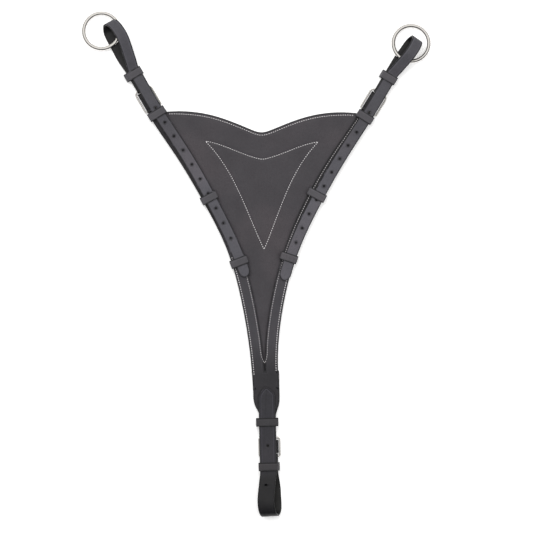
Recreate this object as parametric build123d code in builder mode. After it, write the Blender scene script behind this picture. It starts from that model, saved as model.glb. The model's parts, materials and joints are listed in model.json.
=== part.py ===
from build123d import *
import os
from math import cos, radians, sin, sqrt, tan

# A bib martingale breastplate lying flat, face up. Millimetres. +X is the right
# hand side seen from above, +Y runs towards the rein rings, +Z is up. The origin
# is on the bib's centre line, in the plane of its back.

os.makedirs("parts", exist_ok=True)

# ---- Driving dimensions ----
# Leather layers of the bib
LINING = 1.2
PANEL = 1.8
PANEL_TOP = LINING + PANEL
YOKE = 3.2
YOKE_TOP = PANEL_TOP + YOKE
FLAP = 1.5  # the arm's thin lining, which reaches on under a buckle's tongue
FLAP_END = -3.4
THREAD = 0.25  # height of a seam above the leather
THREAD_WIDTH = 0.8

# Ring straps
STRAP_WIDTH = 14.0
STRAP = 2.4  # thickness
FRONT = YOKE_TOP + 0.3  # underside of a strap's front layer
ARM_WIDTH = 15.4
HOLE = 3.4
HOLES = 9  # below the one that the tongue is in

# Girth strap
GIRTH_WIDTH = 20.0
GIRTH_FRONT = FRONT + 0.3

# Buckles
WIRE = 2.2
BAR_HEIGHT = 3.2
BORE = WIRE / 2 + 0.3
FOLD = 3.0  # outer radius of a strap's fold round a bar
BUCKLE_WIDTH = 23.6
BUCKLE_REACH = 27.0  # from bar centre to bar centre
GIRTH_BUCKLE_WIDTH = 27.0
GIRTH_BUCKLE_REACH = 22.0
BUCKLE_CORNER = 2.0
BUCKLE_SHOULDER = 5.0  # corner radius at the ring strap's end
TONGUE = 1.6
TONGUE_REACH = 27.6

# Keepers
KEEPER_LENGTH = 10.0
KEEPER_WALL = 1.2
KEEPER_GAP = 0.3

# Rein rings
RING_WIRE = 4.8
RING_RADIUS = 21.4  # to the middle of the wire
RING_TILT = 3.8  # degrees, where a ring lies over its strap

SWING = 30.0  # half the angle that a strap can fold up at its buckle


class Strap:
    """The place of one adjustable strap: where its buckle bar is and which way it runs."""

    def __init__(self, pivot, heading, width, front, frame_shift, bend, loop_heading,
                 loop_length, lean):
        self.pivot = Vector(*pivot, 0)
        self.heading = heading
        self.width = width
        self.front = front
        self.frame_shift = frame_shift
        self.bend = bend
        self.loop_heading = loop_heading
        self.loop_length = loop_length
        self.lean = lean

    def along(self, heading=None):
        """Unit vector from the buckle towards the loop."""
        angle = radians(self.heading if heading is None else heading)
        return Vector(sin(angle), cos(angle), 0)

    def across(self, heading=None):
        """Unit vector to the strap's right."""
        angle = radians(self.heading if heading is None else heading)
        return Vector(cos(angle), -sin(angle), 0)

    def point(self, distance, shift=0.0, height=0.0):
        """A point that far along, across and up from the buckle bar's middle."""
        place = self.pivot + self.along() * distance + self.across() * shift
        return place + Vector(0, 0, height)

    def side_plane(self, shift=0.0):
        """Upright plane along the strap: x towards the loop, y up."""
        return Plane(self.point(0, shift), x_dir=self.along(), z_dir=self.across())

    def section_plane(self, distance):
        """Upright plane across the strap: x to the right, y up."""
        return Plane(self.point(distance), x_dir=self.across(), z_dir=-self.along())

    def flat_plane(self, height):
        """Level plane: x to the strap's right, y towards the loop."""
        return Plane(self.point(0, 0, height), x_dir=self.across(), z_dir=(0, 0, 1))

    def loop_point(self, distance, shift=0.0, height=0.0):
        """A point measured along the loop, which starts at the strap's bend."""
        start = self.point(self.bend)
        place = start + self.along(self.loop_heading) * distance
        return place + self.across(self.loop_heading) * shift + Vector(0, 0, height)

    def loop_plane(self, height):
        """Plane of the leaning loop: x along it, y up the slope of its lean."""
        up = Vector(0, 0, 1) + self.across(self.loop_heading) * self.lean
        x_dir = self.along(self.loop_heading)
        return Plane(self.loop_point(0, 0, height), x_dir=x_dir, z_dir=x_dir.cross(up))


LEFT = Strap((-139.6, 137.6), -29.0, STRAP_WIDTH, FRONT, -2.8, 27.5, -26.8, 62.0, 0.75)
RIGHT = Strap((144.2, 125.2), 32.4, STRAP_WIDTH, FRONT, -1.6, 27.5, 36.0, 51.0, 0.42)
GIRTH = Strap((-0.8, -307.5), 180.0, GIRTH_WIDTH, GIRTH_FRONT, -2.0, 22.0, 178.0, 50.0, 0.55)
ARM_SHIFT = {LEFT: -3.6, RIGHT: -2.5}  # how far the arm lies left of the strap on it
SIDE = {LEFT: -1, RIGHT: 1}
KEEPER_1 = 20.5  # from the buckle bar to the runner's middle
KEEPER_2 = -34.6
# Keepers 2, 3 and 4, measured down the punched end from the buckle bar
SEWN_KEEPERS = {LEFT: (-KEEPER_2, 153.5, 238.5), RIGHT: (-KEEPER_2, 144.5, 226.5)}
ARM_SAMPLES = 2000
ARM_END = -BUCKLE_REACH

# Where the punched ends lie, from keeper 2 to the start of the rounded tip
TAIL_LINE = {
    LEFT: [(-87.9, 50.5), (-61.1, 0.0), (-36.8, -52.0), (-25.0, -83.3)],
    RIGHT: [(94.8, 50.0), (64.8, 0.0), (37.0, -55.0), (25.1, -88.4)],
}
TIP_LENGTH = 9.0
HOLE_ROWS = {LEFT: (48.4, 20.0), RIGHT: (55.6, 18.9)}  # first below the buckle, and their pitch

# The middle lines of the arms and one half of the bib, before the lean below. X is
# measured outwards from the middle.
ARM_LINE = {
    LEFT: [(100.3, 61.7), (63.8, 0.0), (38.5, -53.0), (20.9, -120.0), (12.5, -178.0), (9.3, -228.0)],
    RIGHT: [(96.7, 61.7), (59.5, 0.0), (35.1, -53.0), (15.2, -120.0), (6.6, -178.0), (7.1, -228.0)],
}
TOP_EDGE = [(13.8, 85.1), (37.6, 94.7), (61.0, 101.9), (91.0, 105.9), (126.0, 103.3)]
TOP_DIP = (0.0, 81.3)
TOP_SEAM_INSET = 3.6
TOP_SEAM_END = (111.0, 102.5)
CENTRE_SEAM_CORNER = (67.8, 70.2)
CENTRE_SEAM_TOP = [(50.5, 66.0), (27.0, 57.0), (6.0, 49.9)]
CENTRE_SEAM_DIP = (0.0, 48.9)
CENTRE_SEAM_SIDE = [(45.0, 41.0), (24.0, -1.0)]
CENTRE_SEAM_POINT = (0.0, -59.4)
BIB_FOOT = -207.0
SEAM_SHIFT = ARM_WIDTH / 2 - 2.4  # from an arm's middle to its seams
ARM_SEAM_STEPS = 20
OUTER_SEAM_TOP = -52.0
OUTER_SEAM_FOOT = {LEFT: -210.0, RIGHT: -206.0}
CROTCH_SEAM = (-2.3, -196.3)
NECK_MIDDLE = -1.1  # X of the middle of its wide part
NECK_HALF = 15.8
NECK_TAPER = (13.4, -249.0)
NECK_WIDE_TOP = -205.0
NECK_WIDE_FOOT = -236.0
NECK_WIDTH = 19.4  # at its foot
NECK_NARROW_TOP = -261.0
GIRTH_TAIL_TIP = -224.0
GIRTH_HOLE = 12.8  # from the buckle bar, along the punched end
LOOP_HOLE = (3.0, 34.0)  # across and along the girth strap, on its loop
GIRTH_KEEPER_UPPER = -266.5  # its middle, Y
GIRTH_KEEPER_LOWER = 12.5  # from the buckle bar
KEEPER_SLACK = {LEFT: 2.4, RIGHT: 2.0, GIRTH: 0.0}  # spare room at a runner's left
NECK_KEEPER_SLACK = 1.7


def laid(x, y):
    """The bib's upper part lies turned a little against its neck: its left is higher."""
    share = min(1.0, max(0.0, (y + 60.0) / 120.0))
    return (x, y - 0.029 * x * share * share * (3 - 2 * share))


def mirrored(points, side):
    return [laid(side * x, y) for x, y in points]


def save(part, name):
    part.part.label = name
    export_step(part.part, f"parts/{name}.step")


# ---- Bib and yoke ----
def arm_points(strap, start):
    """The middle line of one arm, from that distance along its strap down to the neck."""
    top = strap.point(start, ARM_SHIFT[strap])
    low = strap.point(KEEPER_2 - 10.0, ARM_SHIFT[strap])
    return [(top.X, top.Y), (low.X, low.Y)] + mirrored(ARM_LINE[strap], SIDE[strap])


def top_edge_points(inset=0.0):
    left = [(x, y - inset) for x, y in mirrored(TOP_EDGE, -1)]
    right = [(x, y - inset) for x, y in mirrored(TOP_EDGE, 1)]
    return left[::-1] + [(TOP_DIP[0], TOP_DIP[1] - inset)] + right


def bib_layer(name, bottom, thickness, arm_width):
    with BuildPart() as layer:
        with BuildSketch(Plane.XY.offset(bottom)):
            with BuildLine():
                top = Spline(*top_edge_points())
                left = Spline(top @ 0, *mirrored(ARM_LINE[LEFT], -1))
                right = Spline(top @ 1, *mirrored(ARM_LINE[RIGHT], 1))
                Line(left @ 1, right @ 1)
            make_face()
            for strap in (LEFT, RIGHT):
                with BuildLine():
                    Spline(*arm_points(strap, KEEPER_2))
                trace(line_width=arm_width)
        extrude(amount=thickness)
        # Square the bib's upper corners off below the buckles
        for strap in (LEFT, RIGHT):
            with BuildSketch(strap.flat_plane(bottom)):
                with Locations((ARM_SHIFT[strap], KEEPER_2 + 3.0)):
                    Rectangle(3 * arm_width, 40.0, align=(Align.CENTER, Align.MIN))
            extrude(amount=thickness, mode=Mode.SUBTRACT)
        with BuildSketch(Plane.XY.offset(bottom)):
            with Locations((0, BIB_FOOT)):
                Rectangle(80, 60, align=(Align.CENTER, Align.MAX))
        extrude(amount=thickness, mode=Mode.SUBTRACT)
    save(layer, name)


def bar_section(strap, distance, shift, radius):
    """A circle round a buckle bar, drawn from the strap's side."""
    with BuildSketch(strap.side_plane(shift)) as section:
        with Locations((distance, BAR_HEIGHT)):
            Circle(radius)
    return section.sketch


def tongue_slot(strap, distance, shift, height):
    """The slot in a fold where the tongue passes, drawn from above at that height."""
    with BuildSketch(strap.flat_plane(height)) as slot:
        with Locations((shift, distance)):
            Rectangle(TONGUE + 1.6, 2 * FOLD + 1.0)
    return slot.sketch


BUCKLE_FOLDS = [
    (LEFT, ARM_END, ARM_SHIFT[LEFT], ARM_WIDTH),
    (RIGHT, ARM_END, ARM_SHIFT[RIGHT], ARM_WIDTH),
    (GIRTH, -GIRTH_BUCKLE_REACH, GIRTH.pivot.X, NECK_WIDTH),
]


# Where the lining reaches on under each tongue: its middle, its width and its start
FLAPS = [
    (LEFT, ARM_SHIFT[LEFT], ARM_WIDTH, ARM_END),
    (RIGHT, ARM_SHIFT[RIGHT], ARM_WIDTH, ARM_END),
    (GIRTH, GIRTH.frame_shift, GIRTH_BUCKLE_WIDTH - 2 * WIRE - 0.8, 2.6 - GIRTH_BUCKLE_REACH),
]


def yoke():
    with BuildPart() as part:
        with BuildSketch(Plane.XY.offset(PANEL_TOP)):
            for strap in (LEFT, RIGHT):
                with BuildLine():
                    Spline(*arm_points(strap, ARM_END))
                trace(line_width=ARM_WIDTH)
            with BuildLine():
                neck_foot = (NECK_WIDTH / 2, GIRTH.pivot.Y + GIRTH_BUCKLE_REACH)
                neck = [(NECK_HALF, NECK_WIDE_TOP), (NECK_HALF, NECK_WIDE_FOOT)]
                for side in (-1, 1):
                    wide = Line(*[(NECK_MIDDLE + side * x, y) for x, y in neck])
                    taper = (NECK_MIDDLE / 2 + side * NECK_TAPER[0], NECK_TAPER[1])
                    ends = [taper, (side * neck_foot[0], NECK_NARROW_TOP)]
                    curve = Spline(wide @ 1, *ends, tangents=((0, -1), (0, -1)))
                    Line(curve @ 1, (side * neck_foot[0], neck_foot[1]))
                Line((-neck_foot[0], neck_foot[1]), neck_foot)
                Line((NECK_MIDDLE - NECK_HALF, NECK_WIDE_TOP), (NECK_MIDDLE + NECK_HALF, NECK_WIDE_TOP))
            make_face()
        extrude(amount=YOKE)
        for strap, shift, width, start in FLAPS:
            with BuildSketch(strap.flat_plane(PANEL_TOP)):
                with Locations((shift, FLAP_END)):
                    Rectangle(width, FLAP_END - start, align=(Align.CENTER, Align.MAX))
            extrude(amount=FLAP)
        # Folded ends round the buckle bars
        for strap, distance, shift, width in BUCKLE_FOLDS:
            extrude(bar_section(strap, distance, shift, FOLD), width / 2, both=True)
            extrude(bar_section(strap, distance, shift, BORE), width, both=True, mode=Mode.SUBTRACT)
            extrude(tongue_slot(strap, distance, 0.0, BAR_HEIGHT), 2 * FOLD, mode=Mode.SUBTRACT)
        # Shallow recesses under the arms for the sewn keepers
        for strap in (LEFT, RIGHT):
            for plane, _, _ in sewn_keepers(strap):
                with BuildSketch(Plane(plane.origin + Vector(0, 0, PANEL_TOP), x_dir=plane.x_dir)):
                    Rectangle(3 * ARM_WIDTH, KEEPER_LENGTH + 2 * KEEPER_GAP)
                extrude(amount=KEEPER_WALL + 2 * KEEPER_GAP, mode=Mode.SUBTRACT)
    save(part, "yoke_strap")


# ---- Keepers ----
def closed_band(name, plane, outline):
    """A keeper: a closed leather band round the outline, which is drawn across the strap."""
    with BuildPart() as band:
        with BuildSketch(plane):
            with BuildLine():
                Polyline(*outline, close=True)
            make_face()
            offset(amount=KEEPER_WALL, kind=Kind.ARC)
            with BuildLine():
                Polyline(*outline, close=True)
            make_face(mode=Mode.SUBTRACT)
        extrude(amount=KEEPER_LENGTH / 2, both=True)
    save(band, name)


def box_outline(left, right, bottom, top):
    return [(left, bottom), (right, bottom), (right, top), (left, top)]


def tail_points(strap):
    start = strap.point(0)
    low = strap.point(KEEPER_2)
    return [(start.X, start.Y), (low.X, low.Y)] + TAIL_LINE[strap]


def sewn_keepers(strap):
    """Each keeper sewn under an arm: its section plane, its number and the arm's place in it."""
    tail = Edge.make_spline([Vector(x, y) for x, y in tail_points(strap)])
    arm = Edge.make_spline([Vector(x, y) for x, y in arm_points(strap, ARM_END)])
    arm_places = [arm @ (step / ARM_SAMPLES) for step in range(ARM_SAMPLES + 1)]
    found = []
    for number, distance in zip("234", SEWN_KEEPERS[strap]):
        place = tail.position_at(distance, PositionMode.LENGTH)
        direction = tail.tangent_at(distance, PositionMode.LENGTH)
        across = Vector(-direction.Y, direction.X)
        beside = min(arm_places, key=lambda point: abs((point - place).dot(direction)))
        plane = Plane(place, x_dir=across, z_dir=direction)
        found.append((plane, number, (beside - place).dot(across)))
    return found


def arm_keepers(strap, word):
    low = PANEL_TOP + KEEPER_WALL + 0.1
    high = FRONT + STRAP + KEEPER_GAP
    for plane, number, arm in sewn_keepers(strap):
        left = min(arm - ARM_WIDTH / 2, -STRAP_WIDTH / 2) - 3 * KEEPER_GAP
        right = max(arm + ARM_WIDTH / 2, STRAP_WIDTH / 2) + 3 * KEEPER_GAP
        closed_band(f"{word}_keeper_{number}", plane, box_outline(left, right, low, high))


def neck_keeper():
    """The keeper sewn round the yoke's neck and the girth strap's end."""
    half = GIRTH_WIDTH / 2
    right = half - GIRTH.pivot.X + 2 * KEEPER_GAP
    left = -right - NECK_KEEPER_SLACK
    outline = box_outline(left, right, PANEL_TOP - 0.1, GIRTH_FRONT + STRAP + KEEPER_GAP)
    plane = Plane((0, GIRTH_KEEPER_UPPER, 0), x_dir=(1, 0, 0), z_dir=(0, -1, 0))
    closed_band("girth_keeper_upper", plane, outline)


def runner(name, strap, distance):
    """The sliding keeper round a strap's front and back layers."""
    half = strap.width / 2 + 1.5 * KEEPER_GAP
    back = half - strap.frame_shift + KEEPER_GAP
    slack = KEEPER_SLACK[strap]
    top = strap.front + STRAP + KEEPER_GAP
    low = KEEPER_WALL + 0.1
    outline = [
        (half + strap.frame_shift, low), (half, strap.front - 0.5), (half, top),
        (-half - slack, top), (-back - slack, strap.front - 0.8), (-back - slack, low),
    ]
    closed_band(name, strap.section_plane(distance), outline)


# ---- Adjustable straps ----
def mitre(strap, sign):
    """Wedge that leaves room for the strap to fold up over its buckle bar."""
    reach = strap.front + STRAP - BAR_HEIGHT + 4.0
    top = BAR_HEIGHT + reach
    with BuildSketch(strap.side_plane()) as wedge:
        with BuildLine():
            Polyline(
                (-0.3 * sign, BAR_HEIGHT), (-(0.3 + reach * tan(radians(SWING))) * sign, top),
                (60 * sign, top), (60 * sign, BAR_HEIGHT), close=True,
            )
        make_face()
    return wedge.sketch


def strap_tail(strap, name):
    """The punched end that lies on the bib, from the buckle bar to its rounded tip."""
    with BuildPart() as tail:
        with BuildSketch(Plane.XY.offset(strap.front)):
            with BuildLine() as path:
                Spline(*tail_points(strap))
            trace(line_width=strap.width)
            middle = path.wires()[0]
            foot, direction = middle @ 1, middle % 1
            turn = -direction.get_angle(Vector(1, 0, 0))
            with Locations(Location((foot.X, foot.Y, 0), (0, 0, turn))):
                Ellipse(TIP_LENGTH, strap.width / 2)
            first, pitch = HOLE_ROWS[strap]
            for distance in [TONGUE_REACH] + [first + index * pitch for index in range(HOLES)]:
                place = middle.position_at(distance, PositionMode.LENGTH)
                with Locations((place.X, place.Y)):
                    Circle(HOLE / 2, mode=Mode.SUBTRACT)
        extrude(amount=STRAP)
        extrude(mitre(strap, 1), 2 * strap.width, both=True, mode=Mode.SUBTRACT)
    save(tail, name)


def girth_tail():
    top = GIRTH.point(0)
    with BuildPart() as tail:
        with BuildSketch(Plane.XY.offset(GIRTH.front)):
            with BuildLine():
                half = GIRTH_WIDTH / 2
                shoulder = GIRTH_TAIL_TIP - 15.0
                Polyline((top.X + half, shoulder), (top.X + half, top.Y), (top.X - half, top.Y),
                         (top.X - half, shoulder))
                Spline((top.X - half, shoulder), (top.X - half * 0.6, shoulder + 10.5),
                       (top.X, GIRTH_TAIL_TIP), (top.X + half * 0.6, shoulder + 10.5),
                       (top.X + half, shoulder), tangents=((0, 1), (0, -1)))
            make_face()
            with Locations((top.X, top.Y + GIRTH_HOLE)):
                Circle(HOLE / 2, mode=Mode.SUBTRACT)
        extrude(amount=STRAP)
        extrude(mitre(GIRTH, 1), 2 * GIRTH_WIDTH, both=True, mode=Mode.SUBTRACT)
    save(tail, "girth_strap_tail")


def loop_outline(strap):
    """Middle line of the loop's leather, in the loop's leaning plane."""
    stretch = sqrt(1 + strap.lean ** 2)
    length = strap.loop_length
    front = strap.front + STRAP / 2
    floor = STRAP / 2

    def at(distance, height):
        return (distance, (height - front) * stretch)

    upper = Spline(
        at(-1.5, front), at(0.2 * length, 11.5), at(0.6 * length, 16.8),
        at(0.88 * length, 14.8), at(length - STRAP / 2, 8.4), at(0.87 * length, 2.6),
        at(0.72 * length, floor), tangents=((1, 0), (-1, 0)),
    )
    level = Line(upper @ 1, at(16, floor))
    Spline(level @ 1, at(4, 3.3), at(-1.5, 3.9), tangents=((-1, 0), (-1, 0)))
    return stretch


def loop_strap(strap, name):
    """The buckle end, the loop and the front layer above the buckle, all one strap."""
    half = strap.width / 2
    back_top = strap.front - 0.9
    with BuildPart() as part:
        with BuildSketch(strap.side_plane()):
            with Locations((0, strap.front)):
                Rectangle(strap.bend, STRAP, align=(Align.MIN, Align.MIN))
        extrude(amount=half, both=True)
        extrude(mitre(strap, -1), 2 * strap.width, both=True, mode=Mode.SUBTRACT)
        with BuildSketch(strap.side_plane(strap.frame_shift)):
            with Locations((0, BAR_HEIGHT)):
                Circle(FOLD)
            with BuildLine():
                Polyline((0, BAR_HEIGHT - FOLD), (7, 2.0), (strap.bend, 2.0),
                         (strap.bend, back_top), (7, back_top), (0, BAR_HEIGHT + FOLD), close=True)
            make_face()
        extrude(amount=half, both=True)
        bore = bar_section(strap, 0, strap.frame_shift, BORE)
        extrude(bore, strap.width, both=True, mode=Mode.SUBTRACT)
        extrude(tongue_slot(strap, 0, strap.frame_shift, 0), 3 * FOLD, mode=Mode.SUBTRACT)
        with BuildSketch(strap.loop_plane(strap.front + STRAP / 2)):
            with BuildLine():
                stretch = loop_outline(strap)
            trace(line_width=STRAP * stretch)
        extrude(amount=half, dir=strap.across(strap.loop_heading), both=True)
        if strap is GIRTH:
            with BuildSketch(strap.flat_plane(strap.front)):
                with Locations(LOOP_HOLE):
                    Circle(HOLE / 2)
            extrude(amount=20, mode=Mode.SUBTRACT)
    save(part, name)


# ---- Buckles ----
def frame_path(strap, width, reach):
    """The middle line of a buckle's wire: a rounded rectangle."""
    with BuildSketch(strap.flat_plane(BAR_HEIGHT)) as outline:
        with Locations((strap.frame_shift, -reach / 2)):
            Rectangle(width - WIRE, reach)
        shoulder = BUCKLE_CORNER if strap is GIRTH else BUCKLE_SHOULDER
        fillet(outline.vertices().sort_by(Axis.Y)[2:], radius=shoulder)
        fillet(outline.vertices().sort_by(Axis.Y)[:2], radius=BUCKLE_CORNER)
    return outline.sketch.wires()[0]


def buckle_frame(strap, name, width, reach):
    path = frame_path(strap, width, reach)
    with BuildPart() as frame:
        with BuildSketch(Plane(path @ 0, z_dir=path % 0)):
            Circle(WIRE / 2)
        sweep(path=path)
    save(frame, name)


def buckle_tongue(strap, name, reach, tip_shift):
    """A ring round the bar, a shaft that rests on the other bar, and a tip in the strap's hole."""
    lift = BAR_HEIGHT + BORE + TONGUE / 2 + 0.05
    root = strap.point(0.8, strap.frame_shift, lift)
    tip = strap.point(-reach, tip_shift, lift)
    with BuildPart() as tongue:
        with BuildSketch(strap.side_plane(strap.frame_shift)):
            with Locations((0, BAR_HEIGHT)):
                Circle(BORE + 0.8)
        extrude(amount=1.3, both=True)
        with BuildSketch(Plane(root, z_dir=tip - root)):
            Circle(TONGUE / 2)
        extrude(amount=(tip - root).length + TONGUE / 4)
        with BuildSketch(Plane(tip - Vector(0, 0, TONGUE / 4))):
            Circle(TONGUE / 2 - 0.05)
        extrude(amount=strap.front + 0.5 - lift + TONGUE / 4)
        with BuildSketch(strap.side_plane(strap.frame_shift)):
            with Locations((0, BAR_HEIGHT)):
                Circle(BORE)
        extrude(amount=3, both=True, mode=Mode.SUBTRACT)
    save(tongue, name)


# ---- Rein rings ----
RING_CENTRES = {LEFT: (56.9, -12.0, 3.95), RIGHT: (42.1, -2.5, 3.95)}


def rein_ring(strap, name):
    distance, shift, height = RING_CENTRES[strap]
    centre = strap.loop_point(distance, shift, height)
    tilt = radians(RING_TILT)
    downhill = strap.along(strap.loop_heading) * cos(tilt) - Vector(0, 0, sin(tilt))
    plane = Plane(centre, x_dir=downhill, z_dir=downhill.cross(strap.across(strap.loop_heading)) * -1)
    with BuildPart(plane) as ring:
        Torus(RING_RADIUS, RING_WIRE / 2)
    save(ring, name)


# ---- Seams ----
def seam(name, height, *lines):
    """A raised line of thread along each list of points."""
    with BuildPart() as thread:
        with BuildSketch(Plane.XY.offset(height)):
            for points in lines:
                with BuildLine():
                    Spline(*points)
                trace(line_width=THREAD_WIDTH)
        extrude(amount=THREAD)
    save(thread, name)


def beside_arm(strap, shift, first, last):
    """Points that far right of an arm's middle line, while Y is between first and last."""
    middle = Edge.make_spline([Vector(x, y) for x, y in arm_points(strap, KEEPER_2 + 6.0)])
    points = []
    for step in range(ARM_SEAM_STEPS + 1):
        place = middle @ (step / ARM_SEAM_STEPS)
        direction = middle % (step / ARM_SEAM_STEPS)
        beside = place + Vector(-direction.Y, direction.X) * shift
        if beside.Y < last:
            start, foot = points[-1]
            share = (foot - last) / (foot - beside.Y)
            return points + [(start + (beside.X - start) * share, last)]
        if beside.Y < first:
            points.append((beside.X, beside.Y))
    return points


def bib_seams():
    top = [point for point in top_edge_points(TOP_SEAM_INSET) if abs(point[0]) < 120]
    ends = [laid(side * TOP_SEAM_END[0], TOP_SEAM_END[1]) for side in (-1, 1)]
    seam("bib_top_stitching", PANEL_TOP, [ends[0]] + top + [ends[1]])
    corners = [laid(side * CENTRE_SEAM_CORNER[0], CENTRE_SEAM_CORNER[1]) for side in (-1, 1)]
    top = [corners[0]] + mirrored(CENTRE_SEAM_TOP, -1) + [CENTRE_SEAM_DIP]
    top += mirrored(CENTRE_SEAM_TOP, 1)[::-1] + [corners[1]]
    sides = [
        [corners[index]] + mirrored(CENTRE_SEAM_SIDE, side) + [CENTRE_SEAM_POINT]
        for index, side in enumerate((-1, 1))
    ]
    seam("bib_centre_stitching", PANEL_TOP, top, *sides)


def yoke_seams():
    inner = [
        beside_arm(strap, SIDE[strap] * -SEAM_SHIFT, strap.pivot.Y, CROTCH_SEAM[1] + 12.0) + [CROTCH_SEAM]
        for strap in (LEFT, RIGHT)
    ]
    seam("yoke_inner_stitching", YOKE_TOP, *inner)
    for strap, word in ((LEFT, "left"), (RIGHT, "right")):
        outer = beside_arm(strap, SIDE[strap] * SEAM_SHIFT, OUTER_SEAM_TOP, OUTER_SEAM_FOOT[strap])
        seam(f"yoke_outer_stitching_{word}", YOKE_TOP, outer)


bib_layer("bib_lining", 0, LINING, ARM_WIDTH - 1.6)
bib_layer("bib_front_panel", LINING, PANEL, ARM_WIDTH - 1.0)
bib_seams()
yoke()
yoke_seams()
for strap, word in ((LEFT, "left"), (RIGHT, "right")):
    strap_tail(strap, f"{word}_strap_tail")
    loop_strap(strap, f"{word}_ring_strap")
    buckle_frame(strap, f"{word}_buckle_frame", BUCKLE_WIDTH, BUCKLE_REACH)
    buckle_tongue(strap, f"{word}_buckle_tongue", TONGUE_REACH, 0.0)
    rein_ring(strap, f"{word}_rein_ring")
    runner(f"{word}_keeper_1", strap, KEEPER_1)
    arm_keepers(strap, word)
girth_tail()
loop_strap(GIRTH, "girth_strap")
buckle_frame(GIRTH, "girth_buckle_frame", GIRTH_BUCKLE_WIDTH, GIRTH_BUCKLE_REACH)
buckle_tongue(GIRTH, "girth_buckle_tongue", GIRTH_HOLE, 0.0)
runner("girth_keeper_lower", GIRTH, GIRTH_KEEPER_LOWER)
neck_keeper()
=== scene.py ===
import json
from math import atan, cos, pi, radians, sin

import bpy
import numpy as np
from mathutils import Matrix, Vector, noise
from mathutils.geometry import convex_hull_2d, delaunay_2d_cdt


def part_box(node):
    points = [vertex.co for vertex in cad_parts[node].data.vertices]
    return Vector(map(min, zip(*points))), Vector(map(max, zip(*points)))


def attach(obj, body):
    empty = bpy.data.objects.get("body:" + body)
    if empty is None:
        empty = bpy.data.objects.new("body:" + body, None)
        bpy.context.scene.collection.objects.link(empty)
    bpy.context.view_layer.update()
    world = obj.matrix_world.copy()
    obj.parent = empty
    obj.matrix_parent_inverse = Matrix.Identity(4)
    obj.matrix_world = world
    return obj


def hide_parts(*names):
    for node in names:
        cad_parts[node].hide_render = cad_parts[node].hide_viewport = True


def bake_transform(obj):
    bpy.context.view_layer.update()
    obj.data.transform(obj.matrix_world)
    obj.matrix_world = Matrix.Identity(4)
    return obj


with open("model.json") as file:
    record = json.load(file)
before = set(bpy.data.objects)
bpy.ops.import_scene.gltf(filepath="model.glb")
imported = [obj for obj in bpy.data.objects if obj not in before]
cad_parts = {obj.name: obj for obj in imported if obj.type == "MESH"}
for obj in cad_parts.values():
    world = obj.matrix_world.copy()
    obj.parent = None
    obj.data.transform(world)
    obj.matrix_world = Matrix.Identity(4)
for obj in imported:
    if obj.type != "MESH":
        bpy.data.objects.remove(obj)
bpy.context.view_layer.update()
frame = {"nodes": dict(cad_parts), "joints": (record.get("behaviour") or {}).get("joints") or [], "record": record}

# A bib martingale breastplate lying flat. Shapes are worked out in millimetres from
# the CAD nodes and turned to metres when a mesh is made.

MM = 0.001
nodes = frame["nodes"]
joints = {joint["name"]: joint for joint in frame["joints"]}

# ---- Driving dimensions, millimetres ----
STRAP = 2.4  # thickness of an adjustable strap
LAYER = 1.8  # thickness of its skived end
BAR_HEIGHT = 3.2
BAR_FOLD = 2.2  # middle of the leather that is folded round a buckle bar
FOLD_THICKNESS = 1.6
KEEPER_WALL = 1.2
YOKE = 3.2
FLAP = 1.5  # thickness of the lining that reaches on under a tongue
FLAP_END = -3.4  # along the strap
LOOP_HOLE = (34.0, 3.0)  # along and across the girth strap, on its loop
ARM_WIDTH = 15.4  # of the folds and flaps at the ends of the arms
NECK_WIDTH = 19.4
NECK_FLAP_WIDTH = 21.8
ARM_BAR, ARM_FLAP_START = -27.0, -26.0  # along the strap
NECK_BAR, NECK_FLAP_START = -22.0, -19.4
TONGUE_SLOT = (3.2, 7.0)  # across and along
SLOT_FLOOR = 2.0  # the yoke's folds stay whole below this height
BEND_START, BEND_END = -8.0, 9.0  # the stretch of a front strap over its buckle; front_strap reads it but nothing bends the strap
CUT_RISE = 12.0  # how high a slot's cutter reaches, or a hole's past the strap's top
# Creased lines: from the edge, half the width, depth, how much painted highlight lightens its shoulder
FINE_CREASE = (1.4, 0.35, 0.14, 0.25)
BROAD_CREASE = (2.3, 0.6, 0.3, 0.9)
YOKE_CREASE = (2.4, 0.55, 0.2, 0.45)
PANEL_CREASE = (1.5, 0.4, 0.14, 0.2)
RIM_HIGHLIGHT = 0.3  # how much painted highlight lightens a loop beside its creased line
FLESH_SIDE_SHADE = 1.6  # the edge value of a strap's flesh side, which the leather shader darkens as painted shade
OUTLINE_STEP = 0.9
GRID = 3.0
HOLE_STEPS = 28
HOLE_RADIUS = 1.25
HOLE_ROUNDING = 0.4
THREAD_WIDTH = 0.8  # of a CAD seam
STITCH_PITCH = 2.8
STITCH_LENGTH = 1.6
STITCH_RADIUS = 0.4
STITCH_SLANT = 0.06  # how much each one leans off the seam
STITCH_SINK = 0.14  # of its middle, into the groove
STITCH_DIVE = 0.22  # how much further down its ends go
# The groove that a seam pulls into the leather: places across it and depths
SEAM_GROOVE = ((-1.0, 0.0), (-0.5, 0.2), (0.0, 0.32), (0.5, 0.2), (1.0, 0.0))
BENCH = 0.4  # how far the floor lies below the leather


# ---- Reading shapes from the CAD nodes ----
def corners(node):
    """A CAD node's corners, in millimetres."""
    return np.array([vertex.co for vertex in nodes[node].data.vertices]) / MM


def area(points):
    """A closed outline's area, which is negative if it runs clockwise."""
    following = np.roll(points, -1, 0)
    return 0.5 * float(np.sum(points[:, 0] * following[:, 1] - points[:, 1] * following[:, 0]))


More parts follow.
